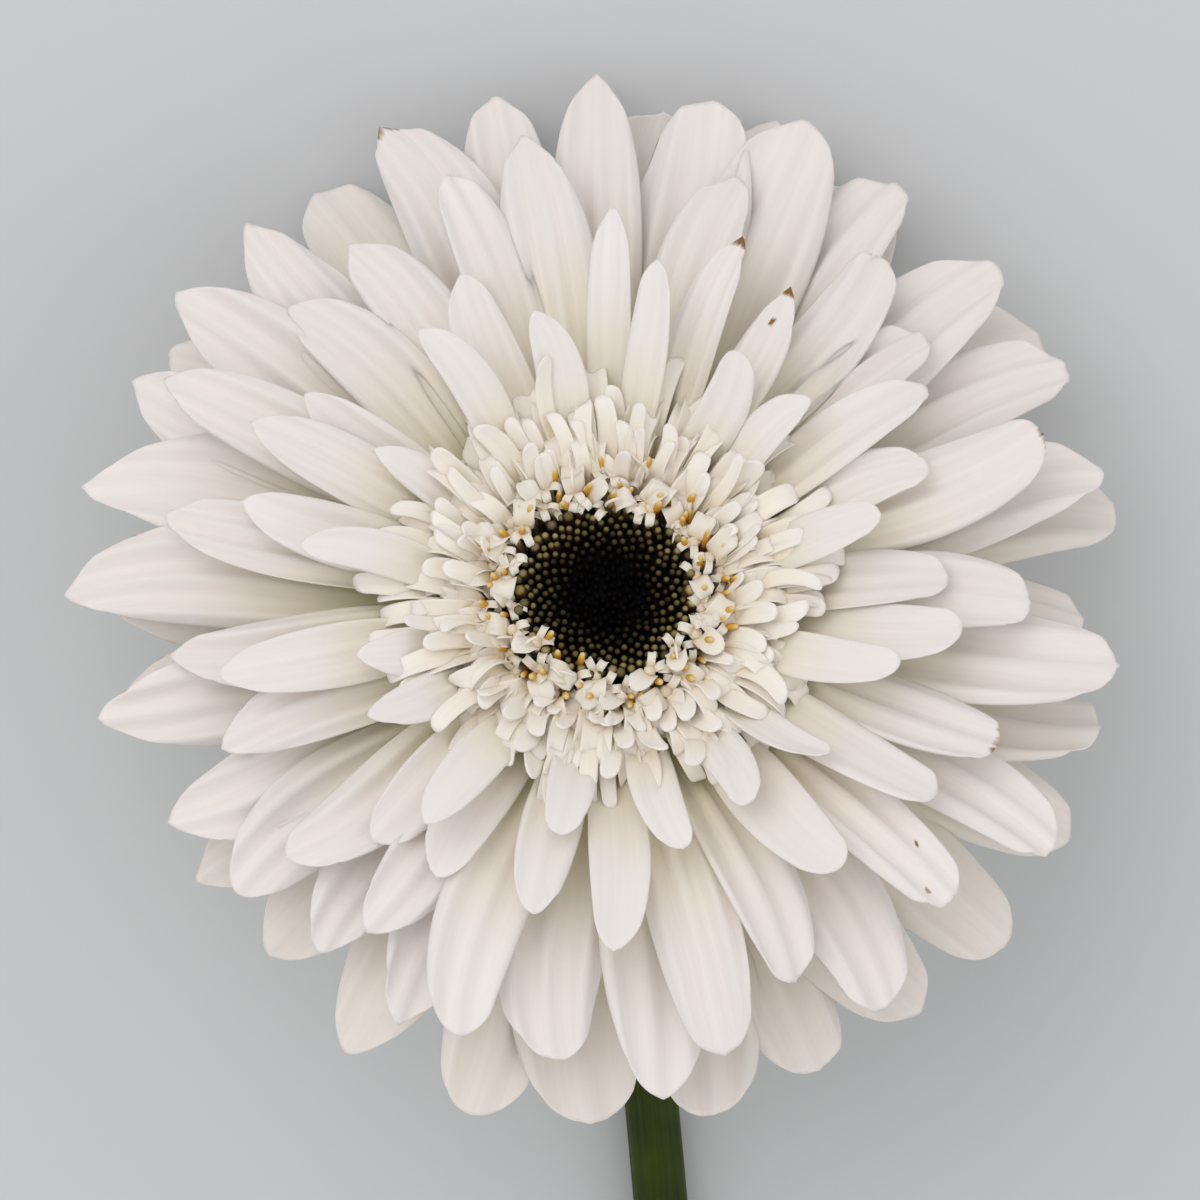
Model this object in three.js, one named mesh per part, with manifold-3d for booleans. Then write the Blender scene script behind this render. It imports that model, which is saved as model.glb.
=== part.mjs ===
// A cut gerbera, semi-double and white with a dark eye, lying on a flat surface.
//
// The leafless stem lies along -Y. Its neck turns up into the flower head, whose axis leans
// back towards +Y, so the flower rests on the tips of its back ray florets and on its stem.
// From below to the middle the head holds: two rows of green bracts, the receptacle, two rows
// of long ray florets that are separate pieces, three shorter rows, two rings of small trans
// florets, a ring of open disc florets and the dark buds of the eye.
//
// Millimetres, +Z up. The origin is the middle of the flower's footprint, on the surface.

import * as THREE from "three";
import Module from "manifold-3d";
import { mergeVertices } from "three/addons/utils/BufferGeometryUtils.js";

const wasm = await Module();
wasm.setup();

// ---------------------------------------------------------------- driving dimensions

const headDiameter = 115; // across the usual tips of the front ray florets
const headLean = 28; // degrees that the head's axis leans from upright, away from the stem
const pressDown = 3; // how far the back tips would sink into the surface if they didn't give

const stemLength = 400; // along its centre line
const neckRadius = 3; // stem just under the head
const cutEndRadius = 3.6; // stem at the cut
const cutSlant = 35; // degrees that the cut is off square
const neckFlare = 1.1; // extra radius where the stem spreads into the receptacle
const neckSwing = 8; // degrees that the stem leaves sideways, before it curves back

const coreRadius = 15.6; // the receptacle's rim, where the long rays sit
const cupDepth = coreRadius * 0.84; // from the receptacle's rim to the stem
const faceRise = 2.6; // how far the receptacle's face climbs from its rim to the eye
const gap = 0.35; // clearance between pieces that touch

const rayWidth = 10; // widest part of a front ray
const rayThickness = 0.6; // in the middle of a blade
const rayRoll = 13; // degrees that a long ray turns about its own length, so neighbours shingle

const eyeRadius = coreRadius - 5.6; // the buds' footprint
const budHeight = 4; // the buds' tops above the receptacle's face
const bractWidth = 3.6;
const bractThickness = 0.5;

const petalWhite = new THREE.MeshStandardMaterial({ color: 0xe9e2dc, roughness: 0.55 });
const floretWhite = new THREE.MeshStandardMaterial({ color: 0xefe8df, roughness: 0.5 });
const discCream = new THREE.MeshStandardMaterial({ color: 0xe6d9bd, roughness: 0.5 });
const budDark = new THREE.MeshStandardMaterial({ color: 0x1d1410, roughness: 0.6 });
const bractGreen = new THREE.MeshStandardMaterial({ color: 0x5f7436, roughness: 0.7 });
const stemGreen = new THREE.MeshStandardMaterial({ color: 0x4c6322, roughness: 0.6 });
for (const material of [petalWhite, floretWhite, discCream, budDark, bractGreen, stemGreen])
  material.metalness = 0;

// ---------------------------------------------------------------- the rows of ray florets

// Each floret is [clock, reach]: degrees clockwise from the side away from the stem, and how far
// its tip stands from the head's axis, in thousandths of the head's diameter.
const backRays = [
  [6, 528], [18, 536], [30, 520], [54, 515], [76, 503], [89, 455], [102, 480], [114, 482],
  [129, 485], [142, 474], [155, 472], [168, 486], [182, 481], [195, 493], [211, 478],
  [225, 450], [238, 456], [260, 473], [275, 485], [289, 488], [304, 510], [328, 526],
  [341, 522],
];
const frontRays = [
  [359, 541], [11, 518], [22, 518], [33, 506], [48, 506], [61, 502], [77, 492], [97, 488],
  [120, 484], [146, 467], [172, 481], [188, 446], [206, 446], [219, 430], [231, 448],
  [243, 462], [257, 492], [272, 514], [285, 514], [297, 508], [307, 515], [318, 516],
  [336, 534], [348, 529],
];
const middleRays = [
  [17, 436], [38, 427], [50, 396], [70, 440], [91, 400], [112, 396], [134, 444], [155, 414],
  [166, 456], [198, 452], [214, 400], [229, 396], [247, 392], [262, 414], [280, 423],
  [297, 470], [314, 420], [325, 427], [340, 444], [350, 470],
];
const innerRays = [
  [1, 370], [21, 362], [31, 340], [58, 357], [69, 326], [88, 322], [98, 336], [124, 370],
  [143, 357], [179, 362], [192, 332], [209, 326], [221, 330], [256, 374], [283, 352],
  [294, 366], [303, 340], [336, 336],
];
const shortRays = [
  [9, 305], [30, 250], [48, 257], [78, 262], [109, 288], [131, 270], [150, 262], [165, 275],
  [190, 255], [214, 300], [238, 262], [252, 245], [275, 288], [300, 252], [323, 292], [345, 262],
];

// The receptacle's face: level over the eye, and falling from there to its rim.
function faceAt(radius) {
  const share = (coreRadius - radius) / (coreRadius - eyeRadius);
  return faceRise * Math.min(Math.max(share, 0), 1);
}

// The shorter rows grow from collars that stand on the face.
const collarHeight = 0.8;
const onFace = (radius) => ({ radius, height: faceAt(radius) + gap + collarHeight / 2 });
const outside = { radius: coreRadius + gap };

// rise and droop are a blade's slopes at its base and tip, in degrees above the head's face.
const rows = {
  back: { ...outside, height: -3.4, rise: 3, droop: -17, width: 1.08, cup: -0.05 },
  front: { ...outside, height: -1.4, rise: 14, droop: -6, width: 1, cup: 0.08 },
  middle: { ...onFace(coreRadius - 0.7), rise: 25, droop: -6, width: 0.86, cup: 0.1 },
  inner: { ...onFace(coreRadius - 1.7), rise: 37, droop: 5, width: 0.68, cup: 0.12 },
  short: { ...onFace(coreRadius - 2.7), rise: 50, droop: 22, width: 0.46, cup: 0.14 },
};

// ---------------------------------------------------------------- closed bodies

const rad = THREE.MathUtils.degToRad;

// A closed body through a list of rings, each with the same number of points, running
// anticlockwise when seen from the end that the rings go towards.
function skin(rings) {
  const around = rings[0].length;
  const last = (rings.length - 1) * around;
  const index = [];
  for (let i = 0; i < last; i += around)
    for (let j = 0; j < around; j++) {
      const next = (j + 1) % around;
      index.push(i + j, i + next, i + around + next);
      index.push(i + j, i + around + next, i + around + j);
    }
  for (let j = 1; j + 1 < around; j++) {
    index.push(0, j + 1, j);
    index.push(last, last + j, last + j + 1);
  }
  const position = rings.flat().flatMap((p) => p.toArray());
  const geometry = new THREE.BufferGeometry();
  geometry.setAttribute("position", new THREE.Float32BufferAttribute(position, 3));
  geometry.setIndex(index);
  geometry.computeVertexNormals();
  return geometry;
}

function toManifold(geometry) {
  const bare = new THREE.BufferGeometry();
  bare.setAttribute("position", geometry.getAttribute("position"));
  bare.setIndex(geometry.index);
  const merged = mergeVertices(bare, 1e-4);
  return new wasm.Manifold(
    new wasm.Mesh({
      numProp: 3,
      vertProperties: merged.attributes.position.array,
      triVerts: new Uint32Array(merged.index.array),
    }),
  );
}

// Joins geometries that overlap into one closed body.
function fuse(geometries) {
  const joined = geometries.map(toManifold).reduce((a, b) => a.add(b));
  const mesh = joined.getMesh();
  const geometry = new THREE.BufferGeometry();
  geometry.setAttribute("position", new THREE.BufferAttribute(mesh.vertProperties, 3));
  geometry.setIndex(new THREE.BufferAttribute(mesh.triVerts, 1));
  geometry.computeVertexNormals();
  return geometry;
}

// A profile of [radius, height] turned about the head's axis.
function turned(profile) {
  const points = profile.map(([radius, height]) => new THREE.Vector2(radius, height));
  return new THREE.LatheGeometry(points, 24).rotateX(Math.PI / 2);
}

// A low ring on the receptacle's face.
function collar(radius, width) {
  const inner = radius - width / 2;
  const outer = radius + width / 2;
  const foot = (r) => [r, faceAt(r) + gap];
  const brim = (r) => [r, faceAt(r) + gap + collarHeight];
  return turned([foot(inner), foot(outer), brim(outer), brim(inner), foot(inner)]);
}

// ---------------------------------------------------------------- blades

// A curve one unit long whose slope goes evenly from rise to droop, as points of
// [run, lift, share of the length].
const curveSteps = 60;
function unitCurve(rise, droop) {
  const curve = [[0, 0, 0]];
  for (let i = 0; i < curveSteps; i++) {
    const slope = rad(rise + ((droop - rise) * (i + 0.5)) / curveSteps);
    const run = curve[i][0] + Math.cos(slope) / curveSteps;
    const lift = curve[i][1] + Math.sin(slope) / curveSteps;
    curve.push([run, lift, (i + 1) / curveSteps]);
  }
  return curve;
}

// How long a blade of this row is, if its tip is that far from the head's axis.
const lengthFor = (reach, row) => (reach - row.radius) / unitCurve(row.rise, row.droop).at(-1)[0];

// A floret's half width, as a share of the widest, at a share of its length.
function outline(along, baseShare, roundness) {
  const belly = 0.62; // where a blade is widest
  if (along < belly) {
    const grown = Math.sin((along / belly) * (Math.PI / 2));
    return baseShare + (1 - baseShare) * grown;
  }
  const past = (along - belly) / (1 - belly);
  return Math.max(Math.pow(1 - Math.pow(past, roundness), 0.6), 0.12);
}

// A blade's section, as [across, face] corners: -1 to 1 from edge to edge, and +1 on the upper
// or -1 on the lower face. The smallest blades have the plain one.
const bladeSection = [[-0.4, 1], [0.4, 1], [1, 0], [0.4, -1], [-0.4, -1], [-1, 0]];
const plainSection = [[0, 1], [1, 0], [0, -1], [-1, 0]];

// One strap-shaped blade in the head's frame. It leaves the axis at the given clock angle and
// starts at the row's radius and height. Its rings stand closer together towards the tip.
function blade(clock, length, row, options = {}) {
  const { steps = 6, roll = rayRoll, roundness = 2.2, settle = () => {} } = options;
  const { section = bladeSection } = options;
  const { thickness = rayThickness, baseWidth = 2.4, widest = rayWidth * row.width } = options;
  const out = new THREE.Vector3(Math.sin(rad(clock)), Math.cos(rad(clock)), 0);
  const side = new THREE.Vector3(out.y, -out.x, 0);
  const up = new THREE.Vector3(0, 0, 1);
  const curve = unitCurve(row.rise, row.droop);
  const rings = [];
  for (let i = 0; i <= steps; i++) {
    const [run, lift, along] = curve[Math.round(Math.sin((i / steps) * (Math.PI / 2)) * curveSteps)];
    const slope = rad(row.rise + (row.droop - row.rise) * along);
    const turn = rad(roll) * Math.min(1, along * 3);
    const normal = up.clone().multiplyScalar(Math.cos(slope)).addScaledVector(out, -Math.sin(slope));
    const across = side.clone().multiplyScalar(Math.cos(turn)).addScaledVector(normal, Math.sin(turn));
    const above = normal.clone().multiplyScalar(Math.cos(turn)).addScaledVector(side, -Math.sin(turn));
    const centre = out.clone().multiplyScalar(row.radius + run * length);
    centre.z = row.height + lift * length;
    const half = (widest / 2) * outline(along, baseWidth / widest, roundness);
    const ring = section.map(([q, face]) => {
      const bend = row.cup * half * (q * q - 0.3) * Math.min(1, along * 4);
      const point = centre.clone().addScaledVector(across, q * half).addScaledVector(above, bend);
      settle(point);
      return point.addScaledVector(above, (face * thickness) / 2);
    });
    rings.push(ring);
  }
  return skin(rings);
}

// ---------------------------------------------------------------- resting on the surface

// The head group's own +Z is the flower's axis, and its origin is the middle of the
// receptacle's rim. Its height follows from the back rays, the lowest part of the head.
const head = new THREE.Group();
head.rotation.x = -rad(headLean);
head.updateMatrix();

const reachOf = (thousandths) => (thousandths / 1000) * headDiameter;
const longRay = (row, [clock, reach], options) => {
  return blade(clock, lengthFor(reachOf(reach), row), row, options);
};
const lowestOf = (geometry) => {
  geometry.applyMatrix4(head.matrix);
  geometry.computeBoundingBox();
  return geometry.boundingBox.min.z;
};
const freeLowest = Math.min(...backRays.map((floret) => lowestOf(longRay(rows.back, floret))));
head.position.z = -freeLowest - pressDown;
head.updateMatrix();
const headInverse = head.matrix.clone().invert();

// Bends a point of a blade up where it would go through the surface: far above the surface it
// does nothing, and near it the height levels off softly at the given floor.
const settleAt = (floor) => (point) => {
  const softness = 0.5;
  point.applyMatrix4(head.matrix);
  point.z = floor + softness * Math.log1p(Math.exp((point.z - floor) / softness));
  point.applyMatrix4(headInverse);
};

// ---------------------------------------------------------------- ray florets

const flower = new THREE.Group();
flower.name = "gerbera";
flower.add(head);

function add(name, geometry, material, parent = head) {
  const mesh = new THREE.Mesh(geometry, material);
  mesh.name = name;
  parent.add(mesh);
}
const numbered = (name, i) => `${name}_${String(i + 1).padStart(2, "0")}`;

backRays.forEach((floret, i) => {
  const settle = settleAt(rayThickness * 0.55);
  add(numbered("back_ray", i), longRay(rows.back, floret, { settle }), petalWhite);
});
frontRays.forEach((floret, i) => {
  const settle = settleAt(rayThickness * 2.2);
  add(numbered("front_ray", i), longRay(rows.front, floret, { settle }), petalWhite);
});

// A shorter row is one body: its blades and their collar.
function rayRow(list, row, options) {
  const shape = { thickness: rayThickness * 0.75, ...options };
  return fuse([collar(row.radius, 0.6), ...list.map((floret) => longRay(row, floret, shape))]);
}
add("middle_rays", rayRow(middleRays, rows.middle, { steps: 5, roll: 8 }), petalWhite);
add("inner_rays", rayRow(innerRays, rows.inner, { steps: 4, roll: 8 }), petalWhite);
add("short_rays", rayRow(shortRays, rows.short, { steps: 3, roll: 6, baseWidth: 2 }), petalWhite);

// ---------------------------------------------------------------- trans and disc florets

// A ring of small upright florets, evenly spaced, long and short by turns.
function floretRing({ count, radius, rise, droop, reaches, width }) {
  const row = { ...onFace(radius), rise, droop, cup: 0.2 };
  const shape = {
    section: plainSection,
    steps: 2,
    roll: 0,
    roundness: 3,
    thickness: 0.4,
    widest: width,
    baseWidth: width * 0.7,
  };
  const florets = [];
  for (let i = 0; i < count; i++) {
    const length = lengthFor(radius + reaches[i % reaches.length], row);
    florets.push(blade(((i + 0.5) * 360) / count, length, row, shape));
  }
  return fuse([collar(radius, 0.4), ...florets]);
}
const outerTrans = {
  count: 28, radius: coreRadius - 3.5, rise: 64, droop: 34, reaches: [13.5, 11], width: 2.2,
};
const innerTrans = {
  count: 26, radius: coreRadius - 4.2, rise: 76, droop: 56, reaches: [7, 5.5], width: 1.7,
};
const openDisc = {
  count: 22, radius: coreRadius - 4.9, rise: 82, droop: 66, reaches: [3.2, 2.6], width: 1.8,
};
add("trans_florets_outer", floretRing(outerTrans), floretWhite);
add("trans_florets_inner", floretRing(innerTrans), floretWhite);
add("disc_florets", floretRing(openDisc), discCream);

// The buds stand in a low cushion that dips in the middle. Its top is knobbed: in each ring
// every other point stands out, and the knobs of one ring lie between those of the next.
function budCushion() {
  const around = 28;
  const levels = [[1, 0], [1, 0.72], [0.9, 0.98], [0.72, 1], [0.54, 0.94], [0.36, 0.84], [0.18, 0.76]];
  const rings = levels.map(([share, high], level) => {
    const ring = [];
    for (let j = 0; j < around; j++) {
      const turn = (j / around) * Math.PI * 2;
      const knob = level > 1 && (j + level) % 2 ? 0.35 : 0;
      const radius = eyeRadius * share;
      const z = faceRise + gap + budHeight * high + knob;
      ring.push(new THREE.Vector3(radius * Math.cos(turn), radius * Math.sin(turn), z));
    }
    return ring;
  });
  return skin(rings);
}
add("disc_buds", budCushion(), budDark);

// ---------------------------------------------------------------- receptacle and bracts

// The cup's wall gets steeper evenly from the stem to the rim. The bracts run along it.
const cupWall = { radius: neckRadius + neckFlare, height: -cupDepth, rise: 12, droop: 76 };
const cupLength = lengthFor(coreRadius, cupWall);

function receptacle() {
  const wall = unitCurve(cupWall.rise, cupWall.droop)
    .filter((point, i) => i % (curveSteps / 5) === 0)
    .map(([run, lift]) => [cupWall.radius + run * cupLength, cupWall.height + lift * cupLength]);
  return turned([[0, -cupDepth], ...wall, [coreRadius, 0], [eyeRadius, faceRise], [0, faceRise]]);
}
add("receptacle", receptacle(), bractGreen);

// A row of bracts follows the wall for a share of its length, that far outside it. They
// overlap each other at their bases.
function bractRow(offset, share, shift) {
  const count = 18;
  const row = {
    radius: cupWall.radius + offset,
    height: cupWall.height - offset,
    rise: cupWall.rise,
    droop: cupWall.rise + (cupWall.droop - cupWall.rise) * share,
    cup: 0,
  };
  const shape = {
    section: plainSection,
    steps: 3,
    roll: 0,
    thickness: bractThickness,
    widest: bractWidth,
    baseWidth: 2.6,
  };
  const bracts = [];
  for (let i = 0; i < count; i++)
    bracts.push(blade(((i + shift) * 360) / count, cupLength * share, row, shape));
  return fuse(bracts);
}
const innerBractOffset = bractThickness / 2 + gap;
add("inner_bracts", bractRow(innerBractOffset, 0.84, 0), bractGreen);
add("outer_bracts", bractRow(innerBractOffset * 2 + bractThickness, 0.56, 0.5), bractGreen);

// ---------------------------------------------------------------- stem

// The centre line drops from the cup in an even bend until the stem lies on the surface, then
// runs along it with a slow sideways bow. Each ring stands square to the line, but the last is
// slanted by the cut.
function stem() {
  const start = new THREE.Vector3(0, 0, -cupDepth - gap).applyMatrix4(head.matrix);
  const steepest = rad(90 - headLean);
  const radiusAt = (s) => {
    const spread = neckFlare * Math.exp(-s / 4);
    return neckRadius + ((cutEndRadius - neckRadius) * s) / stemLength + spread;
  };
  const bendLength = (steepest * (start.z - neckRadius)) / (1 - Math.cos(steepest));
  const step = 0.5;
  const point = start.clone();
  const path = [];
  for (let s = 0; s <= stemLength; s += step) {
    const dip = steepest * Math.max(0, 1 - s / bendLength);
    const swing = rad(neckSwing) * (1 - (2 * s) / stemLength) * (1 - Math.exp(-s / 15));
    const heading = new THREE.Vector3(Math.sin(swing), -Math.cos(swing), 0);
    const along = heading.clone().multiplyScalar(Math.cos(dip));
    along.z = -Math.sin(dip);
    path.push({ s, centre: point.clone(), heading, along });
    point.addScaledVector(along, step);
    if (s > bendLength) point.z = radiusAt(s);
  }

  const bendRings = 9;
  const lyingRings = 9;
  const stations = [0, 2, 5];
  for (let i = 1; i <= bendRings; i++) stations.push(5 + ((bendLength - 5) * i) / bendRings);
  for (let i = 1; i <= lyingRings; i++)
    stations.push(bendLength + ((stemLength - bendLength) * i) / lyingRings);

  const around = 14;
  const rings = stations.map((s, level) => {
    const { centre, heading, along } = path[Math.min(Math.round(s / step), path.length - 1)];
    const side = new THREE.Vector3(-heading.y, heading.x, 0);
    const over = new THREE.Vector3().crossVectors(along, side);
    const slant = level === stations.length - 1 ? Math.tan(rad(cutSlant)) : 0;
    const ring = [];
    for (let j = 0; j < around; j++) {
      const turn = (j / around) * Math.PI * 2;
      const [x, y] = [Math.cos(turn) * radiusAt(s), Math.sin(turn) * radiusAt(s)];
      const corner = centre.clone().addScaledVector(side, x).addScaledVector(over, y);
      ring.push(corner.addScaledVector(along, -slant * y));
    }
    return ring;
  });
  return skin(rings);
}
add("stem", stem(), stemGreen, flower);

// ---------------------------------------------------------------- origin

flower.updateMatrixWorld(true);
const box = new THREE.Box3().setFromObject(flower, true);
flower.position.set(-(box.min.x + box.max.x) / 2, -(box.min.y + box.max.y) / 2, -box.min.z);

export default flower;
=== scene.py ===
import bpy
import numpy as np
from mathutils import Matrix, Vector


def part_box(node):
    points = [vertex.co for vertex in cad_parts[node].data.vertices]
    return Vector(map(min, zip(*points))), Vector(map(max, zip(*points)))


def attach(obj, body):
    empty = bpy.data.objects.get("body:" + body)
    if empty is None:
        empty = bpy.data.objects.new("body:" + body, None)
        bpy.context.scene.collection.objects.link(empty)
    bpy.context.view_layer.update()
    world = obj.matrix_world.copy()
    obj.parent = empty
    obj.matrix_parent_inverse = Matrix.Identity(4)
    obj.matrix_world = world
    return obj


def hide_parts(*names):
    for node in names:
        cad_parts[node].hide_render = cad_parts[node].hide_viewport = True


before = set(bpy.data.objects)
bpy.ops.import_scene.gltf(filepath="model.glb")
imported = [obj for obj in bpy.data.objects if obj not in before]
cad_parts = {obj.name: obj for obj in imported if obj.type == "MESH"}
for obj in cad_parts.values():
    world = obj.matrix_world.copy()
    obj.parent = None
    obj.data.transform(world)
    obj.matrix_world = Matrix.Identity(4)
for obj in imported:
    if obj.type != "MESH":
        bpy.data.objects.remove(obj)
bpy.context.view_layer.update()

mm = 0.001
fullTurn = 6.28  # radians, for random phases and spins

# The head stands on its own axes: the middle of the receptacle's rim, with the axis leaning back
# from upright. A turned cup touches its box at the rim, so the box gives the rim's middle.
headLean = np.radians(28)
rimLow, rimHigh = [np.array(corner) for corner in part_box("receptacle")]
coreRadius = (rimHigh[0] - rimLow[0]) / 2 / mm
headOrigin = np.array([
    (rimLow[0] + rimHigh[0]) / 2,
    rimHigh[1] - coreRadius * mm * np.cos(headLean),
    rimHigh[2] - coreRadius * mm * np.sin(headLean),
])
headAxes = np.array([
    [1, 0, 0],
    [0, np.cos(headLean), -np.sin(headLean)],
    [0, np.sin(headLean), np.cos(headLean)],
])
print("head middle", headOrigin.round(4), "core radius", round(coreRadius, 2), "mm")


# head millimetres to world metres: the origin plus each coordinate along its own axis
def toWorld(points):
    return headOrigin + (points * mm) @ headAxes


def toHead(points):
    return ((points - headOrigin) @ headAxes.T) / mm


cameraLook = {
    "elevation": 79,      # degrees above the surface, from the side away from the stem
    "distance": 0.9,      # metres from the eye of the flower
    "frameWidth": 0.1302,  # metres across the picture at that distance
    "aside": (-0.0007, 0.0),  # what the middle of the picture lies off the eye, right and up
}


def makeCamera(look):
    rise = np.radians(look["elevation"])
    back = Vector((0, np.cos(rise), np.sin(rise)))
    up = (Vector((0, 1, 0)) - back * back.y).normalized()
    right = up.cross(back)
    eyeLow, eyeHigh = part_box("disc_buds")
    target = (eyeLow + eyeHigh) / 2 + right * look["aside"][0] + up * look["aside"][1]
    data = bpy.data.cameras.new("camera")
    data.sensor_width = 36
    data.lens = 36 * look["distance"] / look["frameWidth"]
    data.clip_start = 0.01
    camera = bpy.data.objects.new("camera", data)
    bpy.context.collection.objects.link(camera)
    turn = Matrix((right, up, back)).transposed().to_4x4()
    camera.matrix_world = Matrix.Translation(target + back * look["distance"]) @ turn
    bpy.context.scene.camera = camera


makeCamera(cameraLook)


# one grid of points as quads: each cell's corners in turn, across first and then along
def gridQuads(rows, columns, wrap=False):
    index = np.arange(rows * columns).reshape(rows, columns)
    if wrap:
        index = np.hstack([index, index[:, :1]])
    corners = [index[:-1, :-1], index[:-1, 1:], index[1:, 1:], index[1:, :-1]]
    return np.stack(corners, -1).reshape(-1, 4)


# a thin closed blade: an upper and a lower grid of the same size, and a strip round their edge
def slab(upper, lower):
    rows, columns = upper.shape[:2]
    top = np.arange(rows * columns).reshape(rows, columns)
    low = top + rows * columns
    cells = gridQuads(rows, columns)
    faces = [cells, cells[:, ::-1] + rows * columns]
    edges = [
        (top[:-1, 0], top[1:, 0], low[1:, 0], low[:-1, 0]),
        (top[:-1, -1], low[:-1, -1], low[1:, -1], top[1:, -1]),
        (top[0, :-1], low[0, :-1], low[0, 1:], top[0, 1:]),
        (top[-1, :-1], top[-1, 1:], low[-1, 1:], low[-1, :-1]),
    ]
    faces += [np.stack(edge, -1) for edge in edges]
    points = np.concatenate([upper.reshape(-1, 3), lower.reshape(-1, 3)])
    return points, np.concatenate(faces)


# a closed skin over rings of points: quads round each band, and a fan over each end
def sleeve(rings):
    count, around = rings.shape[:2]
    points = np.concatenate([rings.reshape(-1, 3), [rings[0].mean(0), rings[-1].mean(0)]])
    bands = gridQuads(count, around, wrap=True)
    here = np.arange(around)
    after = (here + 1) % around
    start, end = count * around, count * around + 1
    last = (count - 1) * around
    fans = np.concatenate([
        np.stack([after, here, np.full(around, start)], -1),
        np.stack([last + here, last + after, np.full(around, end)], -1),
    ])
    return points, bands, fans


# circles about z: each ring's radius and height give its points
def turnedRings(radii, heights, around):
    angle = np.arange(around) / around * 2 * np.pi
    radii = np.asarray(radii, float)[:, None]
    heights = np.broadcast_to(np.asarray(heights, float)[:, None], (len(radii), around))
    return np.stack([radii * np.cos(angle), radii * np.sin(angle), heights], -1)


# tint of a turned shape: how far along it each point is, no stain, and one chance value
def alongTint(share, chance=0):
    return np.hstack([share, 0 * share, 0 * share + chance, 0 * share + 1])


# How far out and up a line goes whose slope is given at even steps: the sums of the slope's
# cosines and sines, as shares of the line's length.
def runAndLift(slope):
    middle = (slope[1:] + slope[:-1]) / 2
    run = np.concatenate([[0], np.cumsum(np.cos(middle)) / len(middle)])
    lift = np.concatenate([[0], np.cumsum(np.sin(middle)) / len(middle)])
    return run, lift


# many copies of one shape: each copy's points are the shape's, times its scale, turned by its
# three axes and moved to its place
def copies(points, faces, places, axes, scales):
    moved = np.einsum("pc,kcd->kpd", points, axes) * scales[:, None, None] + places[:, None, :]
    shift = np.arange(len(places))[:, None, None] * len(points)
    return moved.reshape(-1, 3), (faces[None] + shift).reshape(-1, faces.shape[1])


# gathered faces of one kind as one array, empty if there are none
def joined(faces, corners):
    return np.concatenate(faces) if faces else np.zeros((0, corners), int)


class Build:
    # gathers bodies into one mesh, with two numbers across the surface and a tint at each point
    def __init__(self):
        self.points, self.quads, self.fans, self.uvs, self.tints = [], [], [], [], []
        self.count = 0

    def put(self, points, quads=None, fans=None, uv=None, tint=None):
        size = len(points)
        self.points.append(points)
        if quads is not None and len(quads):
            self.quads.append(quads + self.count)
        if fans is not None and len(fans):
            self.fans.append(fans + self.count)
        self.uvs.append(np.zeros((size, 2)) if uv is None else uv)
        self.tints.append(np.zeros((size, 4)) if tint is None else tint)
        self.count += size

    def finish(self, name, material, slot, nodes=(), world=False):
        points = np.concatenate(self.points)
        points = points if world else toWorld(points)
        quads, fans = joined(self.quads, 4), joined(self.fans, 3)
        corners = np.concatenate([quads.ravel(), fans.ravel()])
        fanStarts = quads.size + np.arange(len(fans)) * 3
        starts = np.concatenate([np.arange(len(quads)) * 4, fanStarts])
        mesh = bpy.data.meshes.new(name)
        mesh.vertices.add(len(points))
        mesh.vertices.foreach_set("co", points.ravel())
        mesh.loops.add(len(corners))
        mesh.loops.foreach_set("vertex_index", corners.astype(np.int32))
        mesh.polygons.add(len(starts))
        mesh.polygons.foreach_set("loop_start", starts.astype(np.int32))
        mesh.polygons.foreach_set("use_smooth", np.ones(len(starts), bool))
        uv = mesh.uv_layers.new(name="Blade")
        uv.data.foreach_set("uv", np.concatenate(self.uvs)[corners].ravel())
        tint = mesh.attributes.new("tint", "FLOAT_COLOR", "POINT")
        tint.data.foreach_set("color", np.concatenate(self.tints).ravel())
        mesh.update(calc_edges=True)
        mesh.validate()
        mesh.materials.append(material)
        piece = bpy.data.objects.new(name, mesh)
        bpy.context.collection.objects.link(piece)
        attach(piece, "root")
        if nodes:
            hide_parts(*nodes)
        return piece


# an sRGB hex colour as linear numbers
def linear(hexColour):
    parts = np.array([int(hexColour[i:i + 2], 16) for i in (1, 3, 5)]) / 255
    parts = np.where(parts <= 0.04045, parts / 12.92, ((parts + 0.055) / 1.055) ** 2.4)
    return (*parts.tolist(), 1)


# one node with its settings (a name with a small first letter is the node's own property, any
# other key an input) and its links
def addNode(tree, kind, settings=None, links=None):
    node = tree.nodes.new("ShaderNode" + kind)
    for key, value in (settings or {}).items():
        if key == "stops":
            ramp = node.color_ramp
            while len(ramp.elements) < len(value):
                ramp.elements.new(0.5)
            for element, (place, colour) in zip(ramp.elements, value):
                element.position = place
                element.color = linear(colour)
        elif isinstance(key, str) and key[0].islower():
            setattr(node, key, value)
        else:
            node.inputs[key].default_value = value
    for key, socket in (links or {}).items():
        tree.links.new(socket, node.inputs[key])
    return node


def newMaterial(name):
    material = bpy.data.materials.new(name)
    material.use_nodes = True
    material.node_tree.nodes.clear()
    return material, material.node_tree


def closeMaterial(tree, shader):
    addNode(tree, "OutputMaterial", links={"Surface": shader.outputs[0]})


# the three numbers of a mesh's tint at a point: how far along the piece it is, how stained, ripe
# or pale it is, and a chance value of the piece's own
def tintParts(tree):
    tint = addNode(tree, "Attribute", {"attribute_name": "tint"})
    return addNode(tree, "SeparateColor", links={0: tint.outputs["Color"]}).outputs


# noise of one size on the object's own axes, scale waves to a metre
def noiseOf(tree, scale, detail):
    place = addNode(tree, "TexCoord")
    return addNode(tree, "TexNoise", {"Scale": scale, "Detail": detail},
                   {"Vector": place.outputs["Object"]})


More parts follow.
